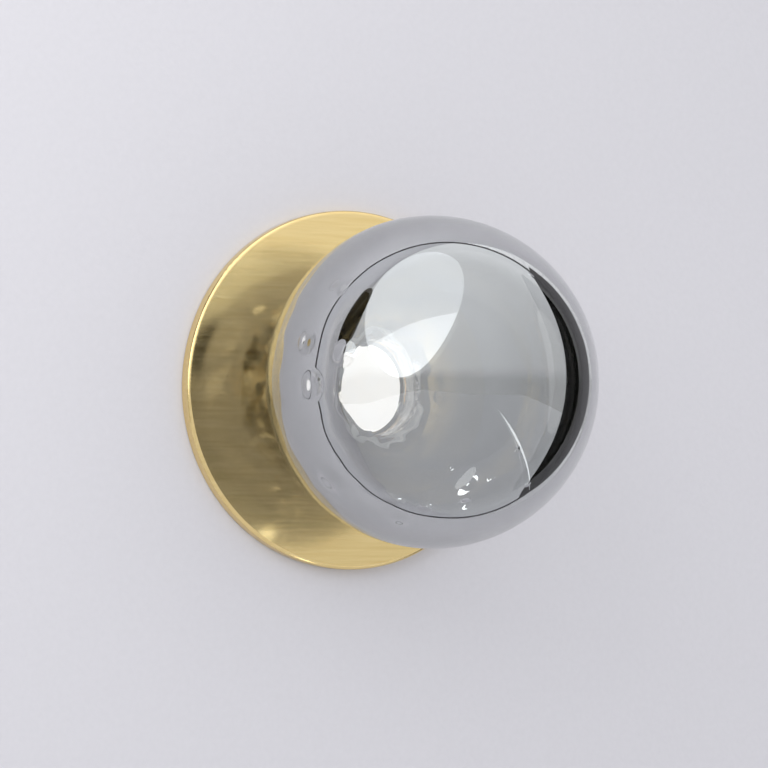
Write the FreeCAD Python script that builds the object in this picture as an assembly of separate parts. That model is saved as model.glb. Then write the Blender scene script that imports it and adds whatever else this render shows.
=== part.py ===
"""Globe wall sconce: a thick smoked-glass ball that screws onto a brass cup on a round brass back plate.

Frame: the origin is the middle of the back plate's wall side, +Z is up, and the light stands out along -Y.
While a piece is modelled, x runs across the wall, y up it, and z is the depth out from the wall, so what
sits in the wall box has a negative depth. place() turns each finished piece into the frame. Sizes are in
millimetres.
"""

import FreeCAD, Part
import math
import os

V = FreeCAD.Vector
OUT = V(0, 0, 1)

# Driving sizes -------------------------------------------------------------------------------------------

# back plate: a pressed pan, open towards the wall
PLATE_RADIUS = 85.0
PLATE_DEPTH = 6.0
PLATE_SHEET = 1.2
PLATE_EDGE_ROUND = 1.8
GASKET_WIDTH = 5.0
GASKET_GAP = 0.7

# bracket: a crossbar with a round middle, flat on the wall
BRACKET_THICK = 1.5
BRACKET_LENGTH = 104.0
BRACKET_WIDTH = 22.0
BRACKET_DISC_RADIUS = 31.0
WALL_SLOT_SPACING = 72.0
WALL_SLOT_LENGTH = 16.0
WALL_SLOT_RADIUS = 2.25
LEAD_HOLE_RADIUS = 6.5

# fitter cup: holds the globe by a coarse, one-turn thread
CUP_BASE = 3.0
CUP_RADIUS = 38.0
CUP_WALL = 2.0
CUP_HEIGHT = 13.8
CUP_EDGE_ROUND = 0.6
CUP_SCREW_REACH = 20.0
CUP_SCREW_ANGLES = (0.0, 90.0, 180.0, 270.0)

# globe: a glass ball with a cavity that is widest in front of the ball's centre
GLOBE_RADIUS = 75.0
CUP_TO_GLOBE_GAP = 1.2
SIDE_WALL = 12.0
FRONT_WALL = 9.0
REAR_WALL = 13.5
CAVITY_FORWARD = 10.5
BORE_RADIUS = 24.0
NECK_WALL = 7.0
NECK_MOUTH_ROUND = 1.0
BORE_EDGE_ROUND = 3.0

# collar, its cement and the seal under it
CEMENT_THICK = 0.8
COLLAR_LIP_THICK = 1.0
COLLAR_LIP_WIDTH = 3.0
COLLAR_HEIGHT = 6.8
COLLAR_END_GAP = 0.2
SEAL_THICK = 2.0
SEAL_WIDTH = 4.5
SEAL_GAP = 0.2

# thread between collar and cup
THREAD_PITCH = 4.0
THREAD_TURNS = 1.0
RIDGE_HEIGHT = 1.1
RIDGE_CREST = 0.9
RIDGE_ROOT = 1.5
RIDGE_SINK = 0.4
THREAD_GAP = 0.35
COLLAR_RIDGE_START = 1.3

# light source in the cup
PAD_THICK = 0.5
PAD_RADIUS = 18.0
BOARD_THICK = 1.6
BOARD_RADIUS = 19.0
BOARD_HOLE_RADIUS = 3.0
CHIP_COUNT = 12
CHIP_CIRCLE_RADIUS = 12.5
CHIP_SIZE = (3.5, 2.8, 0.8)
CONNECTOR_SIZE = (7.0, 8.0, 3.0)
CONNECTOR_HOLE_DEPTH = 1.8
CONNECTOR_LEAD_DEPTH = 1.0
DIFFUSER_RADIUS = 21.2
DIFFUSER_WALL = 1.5
DIFFUSER_FLANGE = 1.1
DIFFUSER_FLANGE_THICK = 1.2
DIFFUSER_SKIRT = 5.0
DIFFUSER_DOME = 5.0
CLIP_THICK = 0.5
CLIP_WIDTH = 6.0
CLIP_HOOK = 0.9
CLIP_FOOT = 6.0
CLIP_GAP = 0.3
CLIP_ANGLES = (90.0, 270.0)

# screws: shank radius, head radius, head height
M25 = (1.2, 2.2, 1.5)
M3 = (1.45, 2.8, 1.9)
M4 = (1.95, 3.8, 2.6)
CLEARANCE = 0.25
TAPPED_GAP = 0.05
SLOT_WIDTH = 0.8
SLOT_DEPTH = 0.6
WASHER_THICK = 0.6
HEAD_EDGE_SHARE = 0.35
PLATE_SCREW_REACH = 25.4
PLATE_SCREW_ANGLES = (160.0, 340.0)
PLATE_SCREW_TIP = 1.0
BOARD_SCREW_REACH = 15.5
BOARD_SCREW_ANGLES = (90.0, 270.0)
SMALL_SCREW_BITE = 1.5
CUP_SCREW_BITE = 2.2

# grommet
GROMMET_BORE = 3.0
GROMMET_WALL = 1.6
GROMMET_FLANGE = 1.5
GROMMET_FLANGE_THICK = 1.0

# driver in the wall box
DRIVER_SIZE = (30.0, 17.0, 18.0)
DRIVER_LOW_EDGE = 8.0
DRIVER_WALL = 1.2
DRIVER_EAR = 6.0
DRIVER_EAR_THICK = 2.0
DRIVER_EAR_WIDTH = 8.0
DRIVER_LIP_GAP = 0.1
DRIVER_BOARD_THICK = 1.6
DRIVER_BOARD_DEPTH = 14.0
DRIVER_RAIL = 1.5
TRANSFORMER_SIZE = (8.0, 9.0, 8.0)
TRANSFORMER_X = -8.0
CHOKE_SIZE = (5.0, 6.0, 4.0)
CHOKE_X = 1.0
CAPACITOR_RADIUS = 3.2
CAPACITOR_HEIGHT = 9.0
CAPACITOR_X = 8.5

# terminal block in the wall box
BLOCK_SIZE = (28.0, 13.0, 12.0)
BLOCK_TOP = -13.0
TERMINAL_PITCH = 9.0
TERMINAL_DEPTH = 6.5
INSERT_RADIUS = 2.6
INSERT_BORE = 1.6
INSERT_LENGTH = 9.0
TERMINAL_SCREW_RADIUS = 1.2
TERMINAL_SCREW_SPACING = 4.6
TERMINAL_SCREW_SUNK = 0.8

# earth connection
EARTH_X = -22.0
EARTH_Y = -7.0
TAG_RADIUS = 4.0
TAG_THICK = 0.8
TAG_TONGUE = 3.2
TAG_BARREL_RADIUS = 1.5
TAG_BARREL_LENGTH = 3.5

# leads
LEAD_RADIUS = 0.8
LED_LEAD_SPACING = 2.4
LED_LEAD_DEPTH = 8.0
LEAD_HOLE_GAP = 0.2
LEAD_BEND = 5.0
MAINS_LEAD_DEPTH = 10.0
LIVE_LEAD_X = 6.0
NEUTRAL_LEAD_X = 10.5
MAINS_BEND_HIGH = 3.0
MAINS_BEND_LOW = -6.5
EARTH_BEND_OFF = 2.5

# Worked-out places ---------------------------------------------------------------------------------------

plate_inside = PLATE_DEPTH - PLATE_SHEET
cup_floor = PLATE_DEPTH + CUP_BASE
cup_bore = CUP_RADIUS - CUP_WALL
cup_rim = PLATE_DEPTH + CUP_HEIGHT
neck_radius = BORE_RADIUS + NECK_WALL
collar_bore = neck_radius + CEMENT_THICK
collar_root = cup_bore - RIDGE_HEIGHT - THREAD_GAP
seal_low = cup_floor + SEAL_GAP
collar_low = seal_low + SEAL_THICK + SEAL_GAP
neck_end = collar_low + COLLAR_LIP_THICK + COLLAR_END_GAP
globe_centre = cup_rim + CUP_TO_GLOBE_GAP + math.sqrt(GLOBE_RADIUS ** 2 - cup_bore ** 2)
cavity_radius = GLOBE_RADIUS - SIDE_WALL
cavity_middle = globe_centre + CAVITY_FORWARD
cavity_front_depth = GLOBE_RADIUS - FRONT_WALL - CAVITY_FORWARD
cavity_rear_depth = GLOBE_RADIUS - REAR_WALL + CAVITY_FORWARD
board_low = cup_floor + PAD_THICK
board_top = board_low + BOARD_THICK
bush_radius = GROMMET_BORE + GROMMET_WALL
clip_start = DIFFUSER_RADIUS + DIFFUSER_FLANGE + CLIP_GAP
small_screw_tip = cup_floor - SMALL_SCREW_BITE + TAPPED_GAP
driver_middle_y = DRIVER_LOW_EDGE + DRIVER_SIZE[1] / 2
driver_ear_x = DRIVER_SIZE[0] / 2 + DRIVER_EAR / 2
driver_board_face = DRIVER_BOARD_THICK - DRIVER_BOARD_DEPTH
driver_lead_end = DRIVER_LOW_EDGE + DRIVER_WALL + DRIVER_RAIL
terminal_xs = [TERMINAL_PITCH * i for i in (-1, 0, 1)]
block_middle_y = BLOCK_TOP - BLOCK_SIZE[1] / 2
terminal_lead_end = block_middle_y - TERMINAL_SCREW_SPACING
tag_tongue_end = EARTH_X + TAG_RADIUS + TAG_TONGUE / 2


# Helpers -------------------------------------------------------------------------------------------------

def place(shape):
    """Turns a modelled piece, whose depth runs along z, into the frame, where it runs along -Y."""
    turned = shape.copy()
    turned.rotate(V(0, 0, 0), V(1, 0, 0), 90)
    return turned


def save(node, *shapes):
    """Writes one node; several shapes stay separate solids."""
    whole = shapes[0] if len(shapes) == 1 else Part.makeCompound(list(shapes))
    placed = place(whole)
    placed.exportStep("parts/" + node + ".step")
    volume = sum(s.Volume for s in placed.Solids)
    print(f"{node}: {len(placed.Solids)} solids, {volume:.1f} mm3, valid {placed.isValid()}")


def disc(radius, low, high, x=0.0, y=0.0):
    """A cylinder along the depth, from low to high."""
    return Part.makeCylinder(radius, high - low, V(x, y, low), OUT)


def upright(radius, y_low, y_high, x, behind):
    """A cylinder up the wall, at a distance behind the wall's surface."""
    return Part.makeCylinder(radius, y_high - y_low, V(x, y_low, -behind), V(0, 1, 0))


def sideways(radius, x_low, x_high, y, behind):
    """A cylinder across the wall, at a distance behind the wall's surface."""
    return Part.makeCylinder(radius, x_high - x_low, V(x_low, y, -behind), V(1, 0, 0))


def tube(outer, inner, low, high, x=0.0, y=0.0):
    """A round ring along the depth."""
    return disc(outer, low, high, x, y).cut(disc(inner, low, high, x, y))


def block(x_low, x_high, y_low, y_high, z_low, z_high):
    """A box between two corners."""
    return Part.makeBox(x_high - x_low, y_high - y_low, z_high - z_low, V(x_low, y_low, z_low))


def on_circle(radius, angles):
    """The points at these angles, in degrees, on a circle about the light's axis."""
    turns = [math.radians(angle) for angle in angles]
    return [(radius * math.cos(turn), radius * math.sin(turn)) for turn in turns]


cup_screw_places = on_circle(CUP_SCREW_REACH, CUP_SCREW_ANGLES)
plate_screw_places = on_circle(PLATE_SCREW_REACH, PLATE_SCREW_ANGLES)
board_screw_places = on_circle(BOARD_SCREW_REACH, BOARD_SCREW_ANGLES)
clip_screw_places = on_circle(clip_start + CLIP_FOOT / 2, CLIP_ANGLES)


def round_edges(shape, radius, *rings):
    """Rounds the circular edges at each (radius, depth) in rings."""
    edges = []
    for ring_radius, depth in rings:
        for edge in shape.Edges:
            if edge.Degenerated or edge.Curve.TypeId != "Part::GeomCircle":
                continue
            curve = edge.Curve
            if abs(curve.Radius - ring_radius) < 0.01 and abs(curve.Center.z - depth) < 0.01:
                edges.append(edge)
    return shape.makeFillet(radius, edges)


def pan_screw(size, head_low, tip, x=0.0, y=0.0, outward=True):
    """A pan-head screw with a slot. Its head sits on head_low, and its shank runs back to the depth tip."""
    shank, head, height = size
    way = 1 if outward else -1
    body = Part.makeCylinder(head, height, V(x, y, head_low), V(0, 0, way))
    top = [e for e in body.Edges if abs(e.BoundBox.ZMin - head_low - way * height) < 0.01 and e.Closed]
    body = body.makeFillet(height * HEAD_EDGE_SHARE, top[:1])
    length = abs(head_low - tip)
    body = body.fuse(Part.makeCylinder(shank, length, V(x, y, head_low), V(0, 0, -way)))
    slot_end = head_low + way * height
    slot_low = min(slot_end, slot_end - way * SLOT_DEPTH)
    slot = block(x - head, x + head, y - SLOT_WIDTH / 2, y + SLOT_WIDTH / 2, slot_low, slot_low + SLOT_DEPTH)
    return body.cut(slot).removeSplitter()


def ridge(root_radius, height, start, outward):
    """A helical thread ridge on the wall at root_radius, with its root sunk RIDGE_SINK into that wall."""
    way = 1 if outward else -1
    sunk = root_radius - way * RIDGE_SINK
    crest = root_radius + way * height
    corners = [
        V(sunk, 0, start - RIDGE_ROOT / 2),
        V(crest, 0, start - RIDGE_CREST / 2),
        V(crest, 0, start + RIDGE_CREST / 2),
        V(sunk, 0, start + RIDGE_ROOT / 2),
    ]
    section = Part.makePolygon(corners + corners[:1])
    spine = Part.makeHelix(THREAD_PITCH, THREAD_PITCH * THREAD_TURNS, root_radius)
    spine.translate(V(0, 0, start))
    sweep = Part.BRepOffsetAPI.MakePipeShell(Part.Wire(spine.Edges))
    sweep.setFrenetMode(True)
    sweep.add(section)
    sweep.build()
    sweep.makeSolid()
    return Part.Solid(sweep.shape())


def lead(*points):
    """A round lead through the points, its straight runs joined by tangent arcs whose radii are printed."""
    places = [V(*p) for p in points]
    edges, start, radii = [], places[0], []
    for before, corner, after in zip(places, places[1:], places[2:]):
        into, out_of = (corner - before).normalize(), (after - corner).normalize()
        turn = into.getAngle(out_of)
        room = 0.45 * min(corner.distanceToPoint(before), corner.distanceToPoint(after))
        radius = min(LEAD_BEND, room / math.tan(turn / 2))
        reach = radius * math.tan(turn / 2)
        first, last = corner - into * reach, corner + out_of * reach
        inwards = (out_of - into).normalize()
        middle = corner + inwards * (radius / math.cos(turn / 2) - radius)
        edges.append(Part.LineSegment(start, first).toShape())
        edges.append(Part.Arc(first, middle, last).toShape())
        start = last
        radii.append(radius)
    edges.append(Part.LineSegment(start, places[-1]).toShape())
    path = Part.Wire(edges)
    section = Part.Wire(Part.makeCircle(LEAD_RADIUS, places[0], places[1] - places[0]))
    solid = path.makePipeShell([section], True, True)
    wanted = path.Length * math.pi * LEAD_RADIUS ** 2
    radii = [round(r, 2) for r in radii]
    print("lead: arc radii", radii, f"volume {solid.Volume / wanted:.4f} of length x section")
    return solid


# Back plate, gasket and bracket --------------------------------------------------------------------------

def make_back_plate():
    outer = round_edges(disc(PLATE_RADIUS, 0, PLATE_DEPTH), PLATE_EDGE_ROUND, (PLATE_RADIUS, PLATE_DEPTH))
    inner_radius = PLATE_RADIUS - PLATE_SHEET
    hollow = disc(inner_radius, 0, plate_inside)
    hollow = round_edges(hollow, PLATE_EDGE_ROUND - PLATE_SHEET, (inner_radius, plate_inside))
    plate = outer.cut(hollow).cut(disc(bush_radius, 0, PLATE_DEPTH))
    for x, y in cup_screw_places + plate_screw_places:
        plate = plate.cut(disc(M3[0] + CLEARANCE, 0, PLATE_DEPTH, x, y))
    return plate


def make_gasket():
    outer = PLATE_RADIUS - PLATE_SHEET - GASKET_GAP
    return tube(outer, outer - GASKET_WIDTH, 0, plate_inside)


def make_bracket():
    end_radius = BRACKET_WIDTH / 2
    reach = BRACKET_LENGTH / 2 - end_radius
    bracket = block(-reach, reach, -end_radius, end_radius, 0, BRACKET_THICK)
    bracket = bracket.fuse([
        disc(end_radius, 0, BRACKET_THICK, -reach),
        disc(end_radius, 0, BRACKET_THICK, reach),
        disc(BRACKET_DISC_RADIUS, 0, BRACKET_THICK),
    ]).removeSplitter()
    holes = [disc(LEAD_HOLE_RADIUS, 0, BRACKET_THICK)]
    half_run = WALL_SLOT_LENGTH / 2 - WALL_SLOT_RADIUS
    for side in (-1, 1):
        middle = side * WALL_SLOT_SPACING / 2
        holes.append(block(middle - half_run, middle + half_run, -WALL_SLOT_RADIUS, WALL_SLOT_RADIUS,
                           0, BRACKET_THICK))
        holes.append(disc(WALL_SLOT_RADIUS, 0, BRACKET_THICK, middle - half_run))
        holes.append(disc(WALL_SLOT_RADIUS, 0, BRACKET_THICK, middle + half_run))
        holes.append(disc(M3[0] + TAPPED_GAP, 0, BRACKET_THICK, side * driver_ear_x, driver_middle_y))
    for x, y in plate_screw_places:
        holes.append(disc(M3[0] + TAPPED_GAP, 0, BRACKET_THICK, x, y))
    holes.append(disc(M25[0] + TAPPED_GAP, 0, BRACKET_THICK, TERMINAL_PITCH / 2, block_middle_y))
    holes.append(disc(M4[0] + TAPPED_GAP, 0, BRACKET_THICK, EARTH_X, EARTH_Y))
    for hole in holes:
        bracket = bracket.cut(hole)
    return bracket.removeSplitter()


# Cup and its screws --------------------------------------------------------------------------------------

def make_cup():
    outer = round_edges(disc(CUP_RADIUS, PLATE_DEPTH, cup_rim), CUP_EDGE_ROUND, (CUP_RADIUS, cup_rim))
    cup = outer.cut(disc(cup_bore, cup_floor, cup_rim))
    start = collar_low + COLLAR_RIDGE_START + THREAD_PITCH / 2
    cup = cup.fuse(ridge(cup_bore, RIDGE_HEIGHT, start, outward=False))
    cup = cup.cut(disc(bush_radius, PLATE_DEPTH, cup_floor))
    for x, y in cup_screw_places:
        cup = cup.cut(disc(M3[0] + TAPPED_GAP, PLATE_DEPTH, PLATE_DEPTH + CUP_SCREW_BITE, x, y))
    for x, y in plate_screw_places:
        cup = cup.cut(disc(M3[0] + CLEARANCE, PLATE_DEPTH, cup_floor, x, y))
    for x, y in clip_screw_places + board_screw_places:
        cup = cup.cut(disc(M25[0] + TAPPED_GAP, cup_floor - SMALL_SCREW_BITE, cup_floor, x, y))
    return cup


def make_cup_screws():
    tip = PLATE_DEPTH + CUP_SCREW_BITE - TAPPED_GAP
    return [pan_screw(M3, plate_inside, tip, x, y, outward=False) for x, y in cup_screw_places]


def make_plate_screws():
    head = cup_floor + WASHER_THICK
    return [pan_screw(M3, head, -PLATE_SCREW_TIP, x, y) for x, y in plate_screw_places]


def make_plate_screw_washers():
    bore, high = M3[0] + TAPPED_GAP, cup_floor + WASHER_THICK
    return [tube(M3[1], bore, cup_floor, high, x, y) for x, y in plate_screw_places]


def make_grommet():
    """A rubber bush through plate and cup; its flange lies behind the plate."""
    bush = disc(bush_radius, plate_inside, cup_floor)
    flange_low = plate_inside - GROMMET_FLANGE_THICK
    bush = bush.fuse(disc(bush_radius + GROMMET_FLANGE, flange_low, plate_inside))
    return bush.cut(disc(GROMMET_BORE, flange_low, cup_floor)).removeSplitter()


# Light source --------------------------------------------------------------------------------------------

def drilled(shape, low, high):
    """Cuts the middle hole and the two screw holes that pad and board share."""
    cut = shape.cut(disc(BOARD_HOLE_RADIUS, low, high))
    for x, y in board_screw_places:
        cut = cut.cut(disc(M25[0] + TAPPED_GAP, low, high, x, y))
    return cut


def make_led_chips():
    length, width, height = CHIP_SIZE
    chip = block(-width / 2, width / 2, -length / 2, length / 2, board_top, board_top + height)
    chips = []
    for i in range(CHIP_COUNT):
        angle = 360.0 / CHIP_COUNT * (i + 0.5)
        copy = chip.translated(V(CHIP_CIRCLE_RADIUS, 0, 0))
        copy.rotate(V(0, 0, 0), OUT, angle)
        chips.append(copy)
    return chips


def make_board_connector():
    """A two-way connector over the board's hole, open below, where the leads come up."""
    length, width, height = CONNECTOR_SIZE
    body = block(-length / 2, length / 2, -width / 2, width / 2, board_top, board_top + height)
    for side in (-1, 1):
        x = side * LED_LEAD_SPACING / 2
        body = body.cut(disc(LEAD_RADIUS + LEAD_HOLE_GAP, board_top, board_top + CONNECTOR_HOLE_DEPTH, x))
    return body


def make_board_screws():
    return [pan_screw(M25, board_top, small_screw_tip, x, y) for x, y in board_screw_places]


def dome(radius, low, skirt, rise):
    """A closed dome: a skirt of that radius under a cap that rises to its middle."""
    curve = (radius ** 2 + rise ** 2) / (2 * rise)
    centre = low + skirt + rise - curve
    ball = Part.makeSphere(curve, V(0, 0, centre))
    return disc(radius, low, low + skirt + rise).common(ball)


def make_diffuser():
    outside = dome(DIFFUSER_RADIUS, cup_floor, DIFFUSER_SKIRT, DIFFUSER_DOME)
    flange = disc(DIFFUSER_RADIUS + DIFFUSER_FLANGE, cup_floor, cup_floor + DIFFUSER_FLANGE_THICK)
    inside = dome(DIFFUSER_RADIUS - DIFFUSER_WALL, cup_floor, DIFFUSER_SKIRT - DIFFUSER_WALL, DIFFUSER_DOME)
    return outside.fuse(flange).cut(inside).removeSplitter()


def make_diffuser_clips():
    """A strip screwed to the cup's floor that steps up and hooks over the diffuser's flange."""
    start = clip_start
    hook_low = cup_floor + DIFFUSER_FLANGE_THICK
    hook_top = hook_low + CLIP_THICK
    half = CLIP_WIDTH / 2
    foot = block(start, start + CLIP_FOOT, -half, half, cup_floor, cup_floor + CLIP_THICK)
    riser = block(start, start + CLIP_THICK, -half, half, cup_floor, hook_top)
    hook = block(start - CLIP_GAP - CLIP_HOOK, start + CLIP_THICK, -half, half, hook_low, hook_top)
    clip = foot.fuse([riser, hook]).removeSplitter()
    clip = clip.cut(disc(M25[0] + TAPPED_GAP, cup_floor, hook_top, start + CLIP_FOOT / 2))
    clips = []
    for angle in CLIP_ANGLES:
        copy = clip.copy()
        copy.rotate(V(0, 0, 0), OUT, angle)
        clips.append(copy)
    return clips


def make_clip_screws():
    foot_top = cup_floor + CLIP_THICK
    return [pan_screw(M25, foot_top, small_screw_tip, x, y) for x, y in clip_screw_places]


# Globe ---------------------------------------------------------------------------------------------------

def make_seal():
    return tube(collar_root - TAPPED_GAP, collar_root - SEAL_WIDTH, seal_low, seal_low + SEAL_THICK)


def make_collar():
    """A ring round the glass neck with a lip under its end and the outside thread."""
    high = collar_low + COLLAR_HEIGHT
    collar = tube(collar_root, collar_bore, collar_low, high)
    lip = tube(collar_root, collar_bore - COLLAR_LIP_WIDTH, collar_low, collar_low + COLLAR_LIP_THICK)
    collar = collar.fuse(lip).removeSplitter()
    start = collar_low + COLLAR_RIDGE_START
    return collar.fuse(ridge(collar_root, RIDGE_HEIGHT, start, outward=True))


def make_cement():
    """Fills the space between neck and collar, and the gap under the neck's end."""
    high = collar_low + COLLAR_HEIGHT
    bed = collar_low + COLLAR_LIP_THICK
    side = tube(collar_bore, neck_radius, bed, high)
    under = tube(neck_radius, collar_bore - COLLAR_LIP_WIDTH, bed, neck_end)
    return side.fuse(under).removeSplitter()


def bore_meets_cavity():
    """The depth at which the neck's bore runs into the rear half of the cavity."""
    share = math.sqrt(1 - (BORE_RADIUS / cavity_radius) ** 2)
    return cavity_middle - cavity_rear_depth * share


def ellipse_arc(half_depth, from_radius, to_radius, way):
    """Part of the cavity's outline in the x-z plane: ahead of its middle if way is 1, behind it if -1."""
    def point(radius):
        share = math.sqrt(1 - (radius / cavity_radius) ** 2)
        return V(radius, 0, cavity_middle + way * half_depth * share)

    middle = V(0, 0, cavity_middle)
    across, along = middle + V(cavity_radius, 0, 0), middle + V(0, 0, half_depth)
    long_end, short_end = (across, along) if cavity_radius > half_depth else (along, across)
    ellipse = Part.Ellipse(long_end, short_end, middle)
    ends = sorted(ellipse.parameter(point(radius)) for radius in (from_radius, to_radius))
    return Part.ArcOfEllipse(ellipse, *ends).toBSpline().toShape()


def make_globe():
    """The profile in the x-z plane, turned about the light's axis."""
    front = globe_centre + GLOBE_RADIUS
    shoulder = globe_centre - math.sqrt(GLOBE_RADIUS ** 2 - neck_radius ** 2)
    side = V(GLOBE_RADIUS, 0, globe_centre)
    bore_end = bore_meets_cavity()
    cavity_front = cavity_middle + cavity_front_depth
    edges = [
        Part.Arc(V(0, 0, front), side, V(neck_radius, 0, shoulder)).toShape(),
        Part.LineSegment(V(neck_radius, 0, shoulder), V(neck_radius, 0, neck_end)).toShape(),
        Part.LineSegment(V(neck_radius, 0, neck_end), V(BORE_RADIUS, 0, neck_end)).toShape(),
        Part.LineSegment(V(BORE_RADIUS, 0, neck_end), V(BORE_RADIUS, 0, bore_end)).toShape(),
        ellipse_arc(cavity_rear_depth, BORE_RADIUS, cavity_radius, -1),
        ellipse_arc(cavity_front_depth, cavity_radius, 0.0, 1),
        Part.LineSegment(V(0, 0, cavity_front), V(0, 0, front)).toShape(),
    ]
    profile = Part.Face(Part.Wire(Part.__sortEdges__(edges)))
    glass = profile.revolve(V(0, 0, 0), OUT, 360)
    glass = round_edges(glass, NECK_MOUTH_ROUND, (BORE_RADIUS, neck_end), (neck_radius, neck_end))
    return round_edges(glass, BORE_EDGE_ROUND, (BORE_RADIUS, bore_end))


# Driver in the wall box ----------------------------------------------------------------------------------

def driver_lead_holes():
    """Where leads enter the driver: (x, depth behind the wall)."""
    half = LED_LEAD_SPACING / 2
    return [(-half, LED_LEAD_DEPTH), (half, LED_LEAD_DEPTH),
            (LIVE_LEAD_X, MAINS_LEAD_DEPTH), (NEUTRAL_LEAD_X, MAINS_LEAD_DEPTH)]


def make_driver_case():
    """A tray, closed on the bracket's side, with an ear at each end and two rails for the board."""
    length, width, depth = DRIVER_SIZE
    x, low, high = length / 2, DRIVER_LOW_EDGE, DRIVER_LOW_EDGE + width
    wall = DRIVER_WALL
    case = framed(0.0, wall - depth, 0)
    ear_half = DRIVER_EAR_WIDTH / 2
    ears = block(-x - DRIVER_EAR, x + DRIVER_EAR, driver_middle_y - ear_half, driver_middle_y + ear_half,
                 -DRIVER_EAR_THICK, 0)
    case = case.fuse(ears).removeSplitter()
    case = case.cut(block(-x + wall, x - wall, low + wall, high - wall, -depth, -DRIVER_EAR_THICK))
    for rail_low in (low + wall, high - wall - DRIVER_RAIL):
        rail = block(-x + wall, x - wall, rail_low, rail_low + DRIVER_RAIL, driver_board_face, -DRIVER_EAR_THICK)
        case = case.fuse(rail)
    case = case.removeSplitter()
    for hole_x, hole_depth in driver_lead_holes():
        case = case.cut(upright(LEAD_RADIUS + LEAD_HOLE_GAP, low, driver_lead_end, hole_x, hole_depth))
    for side in (-1, 1):
        case = case.cut(disc(M3[0] + CLEARANCE, -DRIVER_EAR_THICK, 0, side * driver_ear_x, driver_middle_y))
    return case


def framed(edge, low, high):
    """A block over the driver's outline, drawn in by edge."""
    x = DRIVER_SIZE[0] / 2 - edge
    return block(-x, x, DRIVER_LOW_EDGE + edge, DRIVER_LOW_EDGE + DRIVER_SIZE[1] - edge, low, high)


def make_driver_cover():
    """The lid on the wall box's side; its lip, inside the case, presses the board on the rails."""
    inside = DRIVER_WALL - DRIVER_SIZE[2]
    cover = framed(0.0, -DRIVER_SIZE[2], inside)
    edge, lip_top = DRIVER_WALL + DRIVER_LIP_GAP, -DRIVER_BOARD_DEPTH
    lip = framed(edge, inside, lip_top).cut(framed(edge + DRIVER_WALL, inside, lip_top))
    return cover.fuse(lip).removeSplitter()


def make_driver_board():
    """The driver's circuit board rests on the case's two rails."""
    return framed(DRIVER_WALL + DRIVER_LIP_GAP, -DRIVER_BOARD_DEPTH, driver_board_face)


def on_driver_board(x, size):
    """A component that stands on the board's bracket side, with its middle at x."""
    length, width, height = size
    y = driver_middle_y
    low = driver_board_face
    return block(x - length / 2, x + length / 2, y - width / 2, y + width / 2, low, low + height)


def make_driver_components():
    capacitor = disc(CAPACITOR_RADIUS, driver_board_face, driver_board_face + CAPACITOR_HEIGHT,
                     CAPACITOR_X, driver_middle_y)
    return [on_driver_board(TRANSFORMER_X, TRANSFORMER_SIZE), on_driver_board(CHOKE_X, CHOKE_SIZE), capacitor]


def make_driver_screws():
    places = [(-driver_ear_x, driver_middle_y), (driver_ear_x, driver_middle_y)]
    return [pan_screw(M3, -DRIVER_EAR_THICK, BRACKET_THICK, x, y, outward=False) for x, y in places]


# Terminal block and earth --------------------------------------------------------------------------------

def terminal_screw_ys():
    half = TERMINAL_SCREW_SPACING / 2
    return (block_middle_y - half, block_middle_y + half)


def make_terminal_block():
    length, width, depth = BLOCK_SIZE
    y_low, y_high = BLOCK_TOP - width, BLOCK_TOP
    body = block(-length / 2, length / 2, y_low, y_high, -depth, 0)
    insert_low = block_middle_y - INSERT_LENGTH / 2
    for x in terminal_xs:
        body = body.cut(upright(INSERT_BORE, y_low, y_high, x, TERMINAL_DEPTH))
        seat = INSERT_RADIUS + TAPPED_GAP
        body = body.cut(upright(seat, insert_low, insert_low + INSERT_LENGTH, x, TERMINAL_DEPTH))
        for y in terminal_screw_ys():
            body = body.cut(disc(TERMINAL_SCREW_RADIUS + CLEARANCE, -depth, -TERMINAL_DEPTH, x, y))
    return body.cut(disc(M25[0] + TAPPED_GAP, -depth, 0, TERMINAL_PITCH / 2, block_middle_y))


def make_terminal_inserts():
    inserts = []
    low = block_middle_y - INSERT_LENGTH / 2
    screw_hole = TERMINAL_SCREW_RADIUS + TAPPED_GAP
    for x in terminal_xs:
        insert = upright(INSERT_RADIUS, low, low + INSERT_LENGTH, x, TERMINAL_DEPTH)
        insert = insert.cut(upright(INSERT_BORE, low, low + INSERT_LENGTH, x, TERMINAL_DEPTH))
        for y in terminal_screw_ys():
            insert = insert.cut(disc(screw_hole, -BLOCK_SIZE[2], -TERMINAL_DEPTH, x, y))
        inserts.append(insert)
    return inserts


def make_terminal_screws():
    """Each screw stands on the lead in its insert, sunk a little in the block."""
    outer = -BLOCK_SIZE[2] + TERMINAL_SCREW_SUNK
    inner = -TERMINAL_DEPTH - LEAD_RADIUS - TAPPED_GAP
    screws = []
    for x in terminal_xs:
        for y in terminal_screw_ys():
            screw = disc(TERMINAL_SCREW_RADIUS, outer, inner, x, y)
            slot = block(x - TERMINAL_SCREW_RADIUS, x + TERMINAL_SCREW_RADIUS, y - SLOT_WIDTH / 4,
                         y + SLOT_WIDTH / 4, outer, outer + SLOT_DEPTH)
            screws.append(screw.cut(slot))
    return screws


def make_terminal_fixing_screw():
    return pan_screw(M25, -BLOCK_SIZE[2], BRACKET_THICK, TERMINAL_PITCH / 2, block_middle_y, outward=False)


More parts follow.
